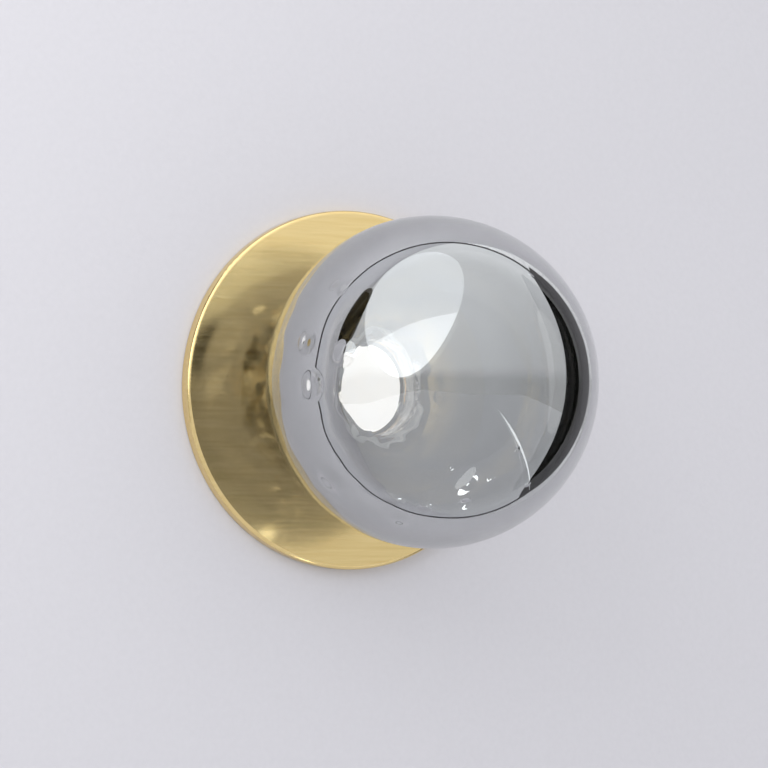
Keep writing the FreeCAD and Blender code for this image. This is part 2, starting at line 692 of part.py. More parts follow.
def make_earth_tag():
    """A ring with a tongue and a crimped barrel that takes the earth lead."""
    x, y = EARTH_X, EARTH_Y
    barrel_end = tag_tongue_end + TAG_BARREL_LENGTH
    half = TAG_TONGUE / 2
    tag = disc(TAG_RADIUS, -TAG_THICK, 0, x, y)
    tag = tag.fuse(block(x, tag_tongue_end + TAG_BARREL_LENGTH / 2, y - half, y + half, -TAG_THICK, 0))
    tag = tag.fuse(sideways(TAG_BARREL_RADIUS, tag_tongue_end, barrel_end, y, TAG_BARREL_RADIUS))
    tag = tag.cut(disc(M4[0] + TAPPED_GAP, -TAG_THICK, 0, x, y))
    crimp = sideways(LEAD_RADIUS + TAPPED_GAP, tag_tongue_end, barrel_end, y, TAG_BARREL_RADIUS)
    return tag.cut(crimp).removeSplitter()


def make_earth_washer():
    return tube(M4[1], M4[0] + TAPPED_GAP, -TAG_THICK - WASHER_THICK, -TAG_THICK, EARTH_X, EARTH_Y)


def make_earth_screw():
    return pan_screw(M4, -TAG_THICK - WASHER_THICK, BRACKET_THICK, EARTH_X, EARTH_Y, outward=False)


# Leads ---------------------------------------------------------------------------------------------------

def make_led_lead(side):
    """From the board's connector straight back through the grommet, then up into the driver."""
    x = side * LED_LEAD_SPACING / 2
    return lead(
        (x, 0, board_top + CONNECTOR_LEAD_DEPTH),
        (x, 0, -LED_LEAD_DEPTH),
        (x, driver_lead_end, -LED_LEAD_DEPTH),
    )


def make_mains_lead(driver_x, terminal_x):
    """From the driver down to its terminal, easing across and towards the bracket."""
    return lead(
        (driver_x, driver_lead_end, -MAINS_LEAD_DEPTH),
        (driver_x, MAINS_BEND_HIGH, -MAINS_LEAD_DEPTH),
        (terminal_x, MAINS_BEND_LOW, -TERMINAL_DEPTH),
        (terminal_x, terminal_lead_end, -TERMINAL_DEPTH),
    )


def make_earth_lead():
    """Up out of its terminal, then across to the tag on the bracket."""
    x = terminal_xs[0]
    return lead(
        (x, terminal_lead_end, -TERMINAL_DEPTH),
        (x, EARTH_Y, -TERMINAL_DEPTH),
        (tag_tongue_end + TAG_BARREL_LENGTH + EARTH_BEND_OFF, EARTH_Y, -TAG_BARREL_RADIUS),
        (tag_tongue_end, EARTH_Y, -TAG_BARREL_RADIUS),
    )


# Build ---------------------------------------------------------------------------------------------------

def main():
    os.makedirs("parts", exist_ok=True)
    save("back_plate", make_back_plate())
    save("wall_gasket", make_gasket())
    save("mounting_bracket", make_bracket())
    save("fitter_cup", make_cup())
    save("cup_screws", *make_cup_screws())
    save("plate_screws", *make_plate_screws())
    save("plate_screw_washers", *make_plate_screw_washers())
    save("lead_grommet", make_grommet())
    save("thermal_pad", drilled(disc(PAD_RADIUS, cup_floor, board_low), cup_floor, board_low))
    save("led_board", drilled(disc(BOARD_RADIUS, board_low, board_top), board_low, board_top))
    save("led_chips", *make_led_chips())
    save("board_connector", make_board_connector())
    save("board_screws", *make_board_screws())
    save("diffuser", make_diffuser())
    save("diffuser_clips", *make_diffuser_clips())
    save("clip_screws", *make_clip_screws())
    save("neck_seal", make_seal())
    save("globe_collar", make_collar())
    save("collar_cement", make_cement())
    save("globe_glass", make_globe())
    save("driver_case", make_driver_case())
    save("driver_cover", make_driver_cover())
    save("driver_board", make_driver_board())
    save("driver_components", *make_driver_components())
    save("driver_screws", *make_driver_screws())
    save("terminal_block", make_terminal_block())
    save("terminal_inserts", *make_terminal_inserts())
    save("terminal_screws", *make_terminal_screws())
    save("terminal_fixing_screw", make_terminal_fixing_screw())
    save("earth_tag", make_earth_tag())
    save("earth_washer", make_earth_washer())
    save("earth_screw", make_earth_screw())
    save("led_lead_positive", make_led_lead(1))
    save("led_lead_negative", make_led_lead(-1))
    save("live_lead", make_mains_lead(LIVE_LEAD_X, terminal_xs[1]))
    save("neutral_lead", make_mains_lead(NEUTRAL_LEAD_X, terminal_xs[2]))
    save("earth_lead", make_earth_lead())


main()
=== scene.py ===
# %% [markdown]
# # A globe wall sconce in brass and smoked glass
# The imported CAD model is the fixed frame. Its metal, plastic and rubber pieces stay as they are and only get better
# finishes. The glass ball is modelled again here, because glass shows every flat facet: it needs a finer skin, a
# smoky inner coating and the small waves of blown glass, none of which the CAD solid has.

# %% Load the frame and keep its box
import math

import bmesh
import bpy
from mathutils import Matrix, Vector, noise as solid_noise


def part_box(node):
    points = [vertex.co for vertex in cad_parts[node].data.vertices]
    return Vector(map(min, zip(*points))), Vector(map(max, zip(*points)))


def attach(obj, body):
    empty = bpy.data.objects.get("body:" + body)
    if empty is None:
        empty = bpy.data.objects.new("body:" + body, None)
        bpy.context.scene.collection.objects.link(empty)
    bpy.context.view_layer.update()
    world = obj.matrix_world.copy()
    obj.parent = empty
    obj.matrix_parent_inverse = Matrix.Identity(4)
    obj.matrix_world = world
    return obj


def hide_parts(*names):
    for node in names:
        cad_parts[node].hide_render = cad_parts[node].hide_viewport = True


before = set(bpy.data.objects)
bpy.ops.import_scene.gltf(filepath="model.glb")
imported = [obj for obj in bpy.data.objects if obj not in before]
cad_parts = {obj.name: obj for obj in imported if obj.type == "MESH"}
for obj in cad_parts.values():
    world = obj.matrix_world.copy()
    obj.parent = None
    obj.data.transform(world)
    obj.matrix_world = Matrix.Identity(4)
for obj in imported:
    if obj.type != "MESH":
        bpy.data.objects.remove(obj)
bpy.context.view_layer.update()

# %% [markdown]
# ## Two tools for selecting
# Most operators act on what is selected. A click does that by hand. In a script it is safer to say it each time, so
# `only` leaves one object selected and active, and `select_vertices` picks points of a mesh by a test of their place.

# %% Select one object, or some of its points
MM = 0.001
SPECK = 1e-6


def only(obj):
    bpy.ops.object.select_all(action="DESELECT")
    obj.select_set(True)
    bpy.context.view_layer.objects.active = obj


def select_vertices(obj, wanted):
    """In edit mode: selects just the vertices whose place passes the test."""
    mesh = bmesh.from_edit_mesh(obj.data)
    bpy.ops.mesh.select_mode(type="VERT")
    for vertex in mesh.verts:
        vertex.select_set(bool(wanted(vertex.co)))
    mesh.select_flush_mode()
    bmesh.update_edit_mesh(obj.data)


# %% [markdown]
# ## The glass ball's sizes
# The real ball is a thick shell of glass. Outside it is a true sphere with a short neck. Inside, the cavity is
# egg-shaped: widest a little in front of the ball's middle, blunt in front and longer towards the neck. The ball's
# place could be typed in again, but reading the CAD node's box keeps it right. Sizes are in millimetres, and depth is
# counted out from the wall.

# %% Sizes of the ball, neck and cavity
BALL_RADIUS = 75.0
CAVITY_RADIUS = 63.0
CAVITY_FORWARD = 10.5
CAVITY_FRONT = 55.5
CAVITY_REAR = 72.0
NECK_RADIUS = 31.0
BORE_RADIUS = 24.0
glass_low, glass_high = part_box("globe_glass")
BALL_DEPTH = -glass_low[1] / MM - BALL_RADIUS
CAVITY_DEPTH = BALL_DEPTH + CAVITY_FORWARD
NECK_END = -glass_high[1] / MM
SHOULDER = BALL_DEPTH - math.sqrt(BALL_RADIUS ** 2 - NECK_RADIUS ** 2)
BORE_END = CAVITY_DEPTH - CAVITY_REAR * math.sqrt(1 - (BORE_RADIUS / CAVITY_RADIUS) ** 2)
print("ball middle", BALL_DEPTH, "shoulder", SHOULDER, "bore ends", BORE_END, "neck ends", NECK_END)


# %% [markdown]
# ## Two balls, cut open at the neck
# The ball could be lathed with the Spin operator from half a section. Two ready spheres need less: their poles are
# turned on to the light's axis, so that rings of faces run round it. The cavity's front half is squeezed and its rear
# half stretched, bisect cuts each ball open, and the open rim is extruded to the neck's end.

# %% Model the outer skin and the cavity
SEGMENTS = 256
RINGS = 128
NECK_STEPS = 4


def open_ball(radius, depth, cut_depth, front=1.0, rear=1.0):
    """A sphere about the light's axis, stretched front and rear, cut open, with its rim drawn to the neck's end."""
    bpy.ops.object.select_all(action="DESELECT")
    bpy.ops.mesh.primitive_uv_sphere_add(segments=SEGMENTS, ring_count=RINGS, radius=radius * MM,
                                         rotation=(math.radians(90), 0, 0))
    ball = bpy.context.active_object
    bpy.ops.object.transform_apply(rotation=True)
    bpy.ops.object.mode_set(mode="EDIT")
    select_vertices(ball, lambda p: p.y < -SPECK)
    bpy.ops.transform.resize(value=(1, front, 1), center_override=(0, 0, 0))
    select_vertices(ball, lambda p: p.y > SPECK)
    bpy.ops.transform.resize(value=(1, rear, 1), center_override=(0, 0, 0))
    bpy.ops.mesh.select_all(action="SELECT")
    bpy.ops.transform.translate(value=(0, -depth * MM, 0))
    bpy.ops.mesh.select_all(action="SELECT")
    bpy.ops.mesh.bisect(plane_co=(0, -cut_depth * MM, 0), plane_no=(0, 1, 0), clear_outer=True, use_fill=False,
                        threshold=1e-8)
    select_vertices(ball, lambda p: p.y > -cut_depth * MM - SPECK)
    step = (cut_depth - NECK_END) / NECK_STEPS * MM
    for _ in range(NECK_STEPS):
        bpy.ops.mesh.extrude_edges_move(TRANSFORM_OT_translate={"value": (0, step, 0)})
    bpy.ops.object.mode_set(mode="OBJECT")
    return ball


outer_skin = open_ball(BALL_RADIUS, BALL_DEPTH, SHOULDER)
cavity = open_ball(CAVITY_RADIUS, CAVITY_DEPTH, BORE_END, front=CAVITY_FRONT / CAVITY_RADIUS,
                   rear=CAVITY_REAR / CAVITY_RADIUS)
print("points outside", len(outer_skin.data.vertices), "and inside", len(cavity.data.vertices))

# %% [markdown]
# ## Waves of blown glass
# Where the real ball was drawn to its neck, both skins wander by a few tenths of a millimetre. A Displace modifier
# with a cloud texture could do that. Here each point is pushed by solid noise in a short loop, because the waves have
# to be strongest low at the left, and have to stop before the neck, whose size the collar needs.

# %% Push the skins in and out by soft noise
WAVE_MIDDLE = (-0.045, -0.080, -0.020)
WAVE_REACH = 0.085
WAVE_HEIGHT = 0.0007
WAVES_PER_METRE = 45
NECK_MARGIN = 2.0
NECK_FADE = 12.0


def make_wavy(obj, middle_depth):
    middle = Vector((0, -middle_depth * MM, 0))
    furthest = 0.0
    for vertex in obj.data.vertices:
        near = max(0.0, 1 - (vertex.co - Vector(WAVE_MIDDLE)).length / WAVE_REACH)
        clear_of_neck = min(1.0, max(0.0, (-vertex.co.y / MM - BORE_END - NECK_MARGIN) / NECK_FADE))
        push = WAVE_HEIGHT * near * clear_of_neck * solid_noise.noise(vertex.co * WAVES_PER_METRE)
        vertex.co += (vertex.co - middle).normalized() * push
        furthest = max(furthest, abs(push))
    print(obj.name, "moves by up to, mm:", furthest / MM)


make_wavy(outer_skin, BALL_DEPTH)
make_wavy(cavity, CAVITY_DEPTH)

# %% [markdown]
# ## The coating knows where it is
# The smoky coating is a film of metal on the cavity only. It could be a third skin of its own, but two faces in one
# place confuse a ray tracer. So a colour attribute marks it on the one shell: black on the outer skin and white on
# the cavity, fading to black near the bore. It is painted before the two skins are joined, while they are apart.

# %% Mark the coating
COAT_MARGIN = 4.0
COAT_FADE = 8.0


def paint_coat(obj, amount):
    attribute = obj.data.color_attributes.new(name="coat", type="FLOAT_COLOR", domain="POINT")
    for vertex in obj.data.vertices:
        value = amount(vertex.co)
        attribute.data[vertex.index].color = (value, value, value, 1.0)


def cavity_coat(place):
    depth = -place.y / MM
    return min(1.0, max(0.0, (depth - BORE_END - COAT_MARGIN) / COAT_FADE))


paint_coat(outer_skin, lambda place: 0.0)
paint_coat(cavity, cavity_coat)
print("coating is full from depth, mm:", BORE_END + COAT_MARGIN + COAT_FADE)

# %% [markdown]
# ## Close the shell
# Glass has to be one closed body, or a ray never learns that it left it. The cavity's faces are turned to look into
# the air inside, the two skins are joined, and bridging their two rims makes the neck's flat end. The printed volume
# tells whether it worked; the CAD solid holds 686.8 cubic centimetres.

# %% Join the two skins at the neck
SMOOTH_ANGLE = math.radians(50)
only(cavity)
bpy.ops.object.mode_set(mode="EDIT")
bpy.ops.mesh.select_all(action="SELECT")
bpy.ops.mesh.flip_normals()
bpy.ops.object.mode_set(mode="OBJECT")
only(outer_skin)
cavity.select_set(True)
bpy.ops.object.join()
globe = bpy.context.active_object
bpy.ops.object.mode_set(mode="EDIT")
select_vertices(globe, lambda p: abs(p.y + NECK_END * MM) < SPECK)
bpy.ops.mesh.bridge_edge_loops()
print("glass volume, cm3:", bmesh.from_edit_mesh(globe.data).calc_volume(signed=True) * 1e6)
bpy.ops.object.mode_set(mode="OBJECT")
only(globe)
bpy.ops.object.transform_apply(location=True, rotation=True, scale=True)
bpy.ops.object.shade_smooth_by_angle(angle=SMOOTH_ANGLE)
globe.name = globe.data.name = "smoked_globe"
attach(globe, "globe")
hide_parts("globe_glass")
print(globe.name, "faces", len(globe.data.polygons))


# %% [markdown]
# ## Finishes
# Each finish is a small node tree on one Principled shader. The nodes could be placed by hand in the Shader Editor,
# and a script that does the same soon gets long. So `new_finish` makes the shader and sets its plain sockets, and the
# helpers below it add one node each, so that the recipes further down read as a list of steps.

# %% Helpers for node trees
def new_finish(name, **sockets):
    material = bpy.data.materials.new(name)
    material.use_nodes = True
    shader = material.node_tree.nodes["Principled BSDF"]
    for socket, value in sockets.items():
        shader.inputs[socket.replace("_", " ")].default_value = value
    return material, material.node_tree, shader


def maths(tree, operation, first, second, clamp=False):
    """A Math node fed by numbers or by other nodes' sockets."""
    node = tree.nodes.new("ShaderNodeMath")
    node.operation = operation
    node.use_clamp = clamp
    for socket, value in zip(node.inputs, (first, second)):
        if isinstance(value, (int, float)):
            socket.default_value = value
        else:
            tree.links.new(value, socket)
    return node.outputs[0]


def ramp(tree, value, low, high, start=0.0, end=1.0, smooth=False):
    """Carries a value from the range low to high into the range start to end."""
    node = tree.nodes.new("ShaderNodeMapRange")
    node.interpolation_type = "SMOOTHSTEP" if smooth else "LINEAR"
    tree.links.new(value, node.inputs["Value"])
    for socket, number in (("From Min", low), ("From Max", high), ("To Min", start), ("To Max", end)):
        node.inputs[socket].default_value = number
    return node.outputs["Result"]


def blend_colour(tree, amount, first, second):
    """A colour between two, each a colour or another node's socket."""
    node = tree.nodes.new("ShaderNodeMix")
    node.data_type = "RGBA"
    tree.links.new(amount, node.inputs["Factor"])
    for socket, value in ((node.inputs["A"], first), (node.inputs["B"], second)):
        if isinstance(value, tuple):
            socket.default_value = value
        else:
            tree.links.new(value, socket)
    return node.outputs["Result"]


def bump(tree, height, depth):
    """A Bump node that takes a height of 1 as depth metres tall."""
    node = tree.nodes.new("ShaderNodeBump")
    node.inputs["Distance"].default_value = depth
    node.inputs["Strength"].default_value = 1.0
    tree.links.new(height, node.inputs["Height"])
    return node.outputs["Normal"]


def noise(tree, scale, stretch=(1, 1, 1), detail=3.0):
    """Noise in the object's own metres: scale is in waves per metre, and stretch multiplies it on each axis."""
    place = tree.nodes.new("ShaderNodeTexCoord")
    turn = tree.nodes.new("ShaderNodeMapping")
    turn.inputs["Scale"].default_value = stretch
    node = tree.nodes.new("ShaderNodeTexNoise")
    node.inputs["Scale"].default_value = scale
    node.inputs["Detail"].default_value = detail
    tree.links.new(place.outputs["Object"], turn.inputs["Vector"])
    tree.links.new(turn.outputs["Vector"], node.inputs["Vector"])
    return node.outputs["Fac"]


def feed(tree, shader, socket, value):
    tree.links.new(value, shader.inputs[socket])


def fed_by(shader, socket):
    """The value that feeds a shader's socket so far."""
    return shader.inputs[socket].links[0].from_socket


# %% [markdown]
# ## Smoked glass: the coating
# The ball is clear, faintly smoky glass about 12 mm thick. The film on its cavity is so thin that it is half mirror
# and half window: from the front the cavity is a round, grey window, and the thick glass is a light ring round it. A
# Glass and a Glossy shader could be mixed for that. One Principled shader is simpler: the coating is its share of
# metal, and the "coat" attribute turns it on. Seen through the glass the film is bright, and seen from the air in the
# cavity it is dark. At the slant where glass becomes a full mirror by itself, a thin dark line runs round the window,
# as in the photograph. Here that line is painted shade: a near-black band laid into the base colour at that slant.

# %% Coating and painted dark line
COAT_FROM_GLASS = (0.68, 0.70, 0.715, 1)
COAT_FROM_AIR = (0.16, 0.165, 0.17, 1)
CLEAR = (1.0, 1.0, 1.0, 1)
# Near-black colour of the painted shade line at the full-mirror slant.
PAINTED_SHADE_BLACK = (0.02, 0.02, 0.02, 1)
FULL_MIRROR_SLANT = 0.2546  # 1 - cos(41.8 degrees), where glass of index 1.5 turns into a full mirror
LINE_LOW, LINE_HIGH = FULL_MIRROR_SLANT - 0.006, FULL_MIRROR_SLANT + 0.002
EDGE_SLANT = 0.16
MIRROR_SHARE = 0.66
glass, tree, shader = new_finish("smoked_glass", Roughness=0.0, IOR=1.5, Transmission_Weight=1.0)
coat = tree.nodes.new("ShaderNodeAttribute")
coat.attribute_name = "coat"
coated = coat.outputs["Fac"]
in_glass = tree.nodes.new("ShaderNodeNewGeometry").outputs["Backfacing"]
angle = tree.nodes.new("ShaderNodeLayerWeight")
angle.inputs["Blend"].default_value = 0.5
slant = angle.outputs["Facing"]
# Painted shade: a near-black band in the base colour where the slant nears the full-mirror angle, on the glass side.
before_line = maths(tree, "LESS_THAN", slant, LINE_HIGH)
line = maths(tree, "MULTIPLY", maths(tree, "GREATER_THAN", slant, LINE_LOW), before_line)
line = maths(tree, "MULTIPLY", line, in_glass)
coat_and_painted_line_colour = blend_colour(tree, in_glass, COAT_FROM_AIR, COAT_FROM_GLASS)
coat_and_painted_line_colour = blend_colour(tree, line, coat_and_painted_line_colour, PAINTED_SHADE_BLACK)
feed(tree, shader, "Base Color", blend_colour(tree, coated, CLEAR, coat_and_painted_line_colour))
near_edge = maths(tree, "MULTIPLY", ramp(tree, slant, EDGE_SLANT, FULL_MIRROR_SLANT, smooth=True), before_line)
share = maths(tree, "ADD", MIRROR_SHARE, maths(tree, "MULTIPLY", near_edge, 1 - MIRROR_SHARE), clamp=True)
feed(tree, shader, "Metallic", maths(tree, "MULTIPLY", coated, share))
print("mirror share", MIRROR_SHARE, "rising to 1 at slant", FULL_MIRROR_SLANT)

# %% [markdown]
# ## Smoked glass: how light leaves
# Real rays bend when they leave the ball. Bent rays would be led round this perfect shell again and again, and its
# ring would go black, while in the photograph it is light. So on their way out of the outer skin rays go straight
# on, which is what an alpha of 0 does there. Most rays that light the wall are let by too, for a faint shadow like
# the photograph's. The smoke could be a darker colour of the skin, but absorption is deepest where the glass is
# thickest, as in the real ball.

# %% Clear exit, faint shadow and smoke
SHADOW_PASSES = 0.97
SMOKE_COLOUR = (0.50, 0.50, 0.49, 1)
SMOKE_DENSITY = 31.0
clear_exit = maths(tree, "SUBTRACT", in_glass, coated, clamp=True)
ray = tree.nodes.new("ShaderNodeLightPath")
from_wall = maths(tree, "MAXIMUM", ray.outputs["Is Shadow Ray"], ray.outputs["Is Diffuse Ray"])
passes = maths(tree, "MAXIMUM", clear_exit, maths(tree, "MULTIPLY", from_wall, SHADOW_PASSES))
feed(tree, shader, "Alpha", maths(tree, "SUBTRACT", 1.0, passes))
absorb = tree.nodes.new("ShaderNodeVolumeAbsorption")
absorb.inputs["Color"].default_value = SMOKE_COLOUR
absorb.inputs["Density"].default_value = SMOKE_DENSITY
tree.links.new(absorb.outputs["Volume"], tree.nodes["Material Output"].inputs["Volume"])
print("smoke density", SMOKE_DENSITY)

# %% [markdown]
# ## Smoked glass: small lenses
# Blown glass has bubbles, ripples and drips that act as small lenses. They are finer than the mesh, so they are
# bump: a round hill or hollow for each, noise for the ripples between them, and an uneven lip where the cavity
# meets the bore. The hills are listed by the place on the glass where the photograph shows one.

# %% Relief of the glass
SMALL_LENSES = [  # x, y, z, radius and height, all in millimetres
    (-33.0, -114.6, -49.9, 5.5, 1.5), (-21.1, -120.3, -53.3, 3.5, 1.0), (-6.5, -127.9, -52.2, 4.5, -0.7),
    (-9.3, -135.8, -44.4, 4.0, 0.3), (-19.1, -138.4, -37.8, 2.2, 0.35), (0.5, -138.5, -42.2, 2.4, 0.3),
    (8.4, -145.6, -29.9, 1.6, 0.5), (20.9, -134.0, 42.4, 1.8, 0.6), (19.8, -133.5, -43.5, 1.8, 0.6),
    (-57.7, -118.1, 9.4, 6.5, 1.6), (-61.3, -94.1, 14.5, 6.0, 1.4), (-71.4, -104.2, 15.2, 7.0, 1.9),
    (-71.2, -109.9, -3.8, 8.0, 2.2), (-59.2, -111.0, 39.1, 6.0, 1.3), (-58.4, -101.5, -44.8, 9.0, 1.6),
    (-30.9, -115.0, -62.2, 6.0, 0.7), (-62.8, -100.9, -3.2, 5.0, 1.3),
]
RIPPLE_HEIGHT = 0.0010
LIP_HEIGHT = 0.006
LIP_LENGTH = 14
LIP_RIPPLES_PER_METRE = 70
object_place = tree.nodes.new("ShaderNodeTexCoord").outputs["Object"]


def closeness(tree, middle, radius, height):
    """Height in the middle of a round spot, smoothly down to nothing at its radius."""
    apart = tree.nodes.new("ShaderNodeVectorMath")
    apart.operation = "DISTANCE"
    tree.links.new(object_place, apart.inputs[0])
    apart.inputs[1].default_value = middle
    return ramp(tree, apart.outputs["Value"], 0.0, radius, height, 0.0, smooth=True)


ripples = noise(tree, WAVES_PER_METRE, detail=1.0)
relief = maths(tree, "MULTIPLY", ripples, closeness(tree, WAVE_MIDDLE, WAVE_REACH, RIPPLE_HEIGHT))
for x, y, z, radius, height in SMALL_LENSES:
    spot = closeness(tree, (x * MM, y * MM, z * MM), radius * MM, height * MM)
    relief = maths(tree, "ADD", relief, spot)
object_axes = tree.nodes.new("ShaderNodeSeparateXYZ")
tree.links.new(object_place, object_axes.inputs["Vector"])
along = object_axes.outputs["Y"]
lip = ramp(tree, along, -(BORE_END + LIP_LENGTH) * MM, -BORE_END * MM, 0.0, LIP_HEIGHT, smooth=True)
unevenness = ramp(tree, noise(tree, LIP_RIPPLES_PER_METRE, detail=1.0), 0.3, 0.7, 0.4, 1.2)
near_bore = ramp(tree, along, -(BORE_END + LIP_LENGTH + 1) * MM, -(BORE_END + LIP_LENGTH - 1) * MM)
lip = maths(tree, "MULTIPLY", maths(tree, "MULTIPLY", lip, unevenness), near_bore)
feed(tree, shader, "Normal", bump(tree, maths(tree, "ADD", relief, lip), 1.0))
globe.data.materials.clear()
globe.data.materials.append(glass)
print("small lenses", len(SMALL_LENSES), "nodes in the glass finish", len(tree.nodes))

# %% [markdown]
# ## The common recipe
# The other pieces keep their CAD shape, so their finish does all the work. Each could have a recipe of its own.
# Instead `grainy` serves nearly all: noise or cells, in the object's own metres, change the colour a little, change
# the roughness and raise a fine relief. Scale is in grains per metre, and depth is the relief in metres.

# %% Grain in colour, roughness and relief
GRAIN_LOW, GRAIN_HIGH = 0.25, 0.75


def grainy(name, dark, light, roughness, scale, stretch=(1, 1, 1), depth=0.00001, cells=False, **sockets):
    material, tree, shader = new_finish(name, **sockets)
    if cells:
        place = tree.nodes.new("ShaderNodeTexCoord")
        node = tree.nodes.new("ShaderNodeTexVoronoi")
        node.inputs["Scale"].default_value = scale
        tree.links.new(place.outputs["Object"], node.inputs["Vector"])
        pattern = node.outputs["Distance"]
    else:
        pattern = noise(tree, scale, stretch)
    spread = ramp(tree, pattern, GRAIN_LOW, GRAIN_HIGH)
    feed(tree, shader, "Base Color", blend_colour(tree, spread, (*dark, 1), (*light, 1)))
    feed(tree, shader, "Roughness", ramp(tree, pattern, GRAIN_LOW, GRAIN_HIGH, *roughness))
    feed(tree, shader, "Normal", bump(tree, pattern, depth))
    return material, tree, shader


# %% [markdown]
# ## Brass
# Plate, cup and collar are brass, brushed very finely along one direction and lacquered, so that they mirror the
# room softly. An anisotropic shader would stretch the highlights; noise squeezed to long streaks does it in the open,
# where it can be seen and changed. Broad patches of more and less gloss keep the plate from looking like plastic.

# %% Satin brass
FINISHES = {}
PATCHES_PER_METRE = 28
FINISHES["satin_brass"], tree, shader = grainy(
    "satin_brass", (0.80, 0.60, 0.265), (0.87, 0.68, 0.335), (0.11, 0.16), 700, stretch=(0.05, 1, 1),
    depth=0.0000015, Metallic=1.0)
patches = ramp(tree, noise(tree, PATCHES_PER_METRE, detail=2.0), 0.3, 0.7, -0.03, 0.05)
feed(tree, shader, "Roughness", maths(tree, "ADD", fed_by(shader, "Roughness"), patches))
print("brass nodes", len(tree.nodes))

# %% [markdown]
# ## Other metals
# The bracket is zinc-plated sheet, whose crystals show as patches, so it has cells. The screws have zinc with a finer
# grain. The clips' rolled steel and the terminals' brass have fine lines one way, and tinned copper is cloudy. One
# recipe with other numbers serves them all, because at this size the shape of the grain tells them apart.

# %% Zinc, steel, terminal brass and tin
for name, dark, light, roughness, scale, stretch, depth in (
        ("zinc_screw", (0.60, 0.61, 0.64), (0.74, 0.75, 0.78), (0.18, 0.34), 1500, (1, 1, 1), 0.000004),
        ("spring_steel", (0.42, 0.42, 0.43), (0.58, 0.58, 0.59), (0.20, 0.32), 1800, (1, 1, 0.04), 0.000003),
        ("terminal_brass", (0.66, 0.54, 0.28), (0.78, 0.66, 0.38), (0.18, 0.30), 1600, (0.06, 1, 1), 0.000003),
        ("tinned_copper", (0.66, 0.66, 0.65), (0.82, 0.82, 0.81), (0.22, 0.40), 600, (1, 1, 1), 0.000006)):
    FINISHES[name] = grainy(name, dark, light, roughness, scale, stretch, depth, Metallic=1.0)[0]
FINISHES["zinc_sheet"] = grainy("zinc_sheet", (0.58, 0.60, 0.62), (0.72, 0.73, 0.74), (0.26, 0.42), 220, cells=True,
                                depth=0.000004, Metallic=1.0)[0]
print("metals", sorted(FINISHES))

# %% [markdown]
# ## Plastic, rubber, foam and cement
# Moulded pieces take the fine texture of their mould, rubber is duller, and the leads' sleeves are smooth and
# satin. They differ only in numbers, so they are one table. Foam has round cells, which the recipe can make too, and
# silicone lets half of the light in.

# %% A table of plain materials
SLEEVE_ROUGHNESS = (0.34, 0.46)
for name, dark, light, roughness, scale, depth in (
        ("black_rubber", (0.028, 0.028, 0.029), (0.050, 0.050, 0.052), (0.62, 0.80), 900, 0.00002),
        ("grey_pad", (0.40, 0.42, 0.46), (0.50, 0.52, 0.55), (0.70, 0.85), 700, 0.00003),
        ("white_plastic", (0.83, 0.83, 0.81), (0.90, 0.90, 0.88), (0.38, 0.52), 1400, 0.00001),
        ("natural_plastic", (0.79, 0.77, 0.69), (0.88, 0.87, 0.81), (0.42, 0.56), 1100, 0.000012),
        ("dark_component", (0.045, 0.045, 0.050), (0.090, 0.090, 0.100), (0.28, 0.46), 1300, 0.00001),
        ("grey_cement", (0.62, 0.61, 0.58), (0.78, 0.77, 0.74), (0.75, 0.92), 1200, 0.00006),
        ("red_sleeve", (0.52, 0.035, 0.03), (0.66, 0.06, 0.05), SLEEVE_ROUGHNESS, 900, 0.00001),
        ("black_sleeve", (0.020, 0.020, 0.020), (0.038, 0.038, 0.038), SLEEVE_ROUGHNESS, 900, 0.00001),
        ("brown_sleeve", (0.20, 0.09, 0.045), (0.29, 0.14, 0.07), SLEEVE_ROUGHNESS, 900, 0.00001),
        ("blue_sleeve", (0.035, 0.16, 0.52), (0.06, 0.23, 0.66), SLEEVE_ROUGHNESS, 900, 0.00001)):
    FINISHES[name] = grainy(name, dark, light, roughness, scale, depth=depth)[0]
FINISHES["dark_foam"] = grainy("dark_foam", (0.05, 0.05, 0.05), (0.12, 0.12, 0.12), (0.85, 1.0), 1300, cells=True,
                               depth=0.00025)[0]
FINISHES["clear_silicone"] = grainy("clear_silicone", (0.72, 0.73, 0.73), (0.82, 0.83, 0.83), (0.30, 0.45), 500,
                                    depth=0.00002, Transmission_Weight=0.55)[0]
print("finishes so far", len(FINISHES))

# %% [markdown]
# ## Earth lead and circuit boards
# The earth lead is green with a yellow stripe, and boards show their copper tracks as lighter paths under the
# lacquer. Both are a second colour laid over the grain: a Wave texture gives stripes, and noise cut off sharply
# gives islands of copper. Real tracks could be drawn one by one, but these boards hide behind their covers.

# %% A second colour over the grain
STRIPE_BLUR = 0.05


def striped(tree, scale, width, direction="X"):
    """1 on stripes of the given share of the pitch, 0 between them, across one of the object's axes."""
    place = tree.nodes.new("ShaderNodeTexCoord")
    wave = tree.nodes.new("ShaderNodeTexWave")
    wave.bands_direction = direction
    wave.inputs["Scale"].default_value = scale
    tree.links.new(place.outputs["Object"], wave.inputs["Vector"])
    return ramp(tree, wave.outputs["Fac"], 1 - width - STRIPE_BLUR, 1 - width + STRIPE_BLUR)


def lay_over(tree, shader, amount, colour):
    feed(tree, shader, "Base Color", blend_colour(tree, amount, fed_by(shader, "Base Color"), colour))


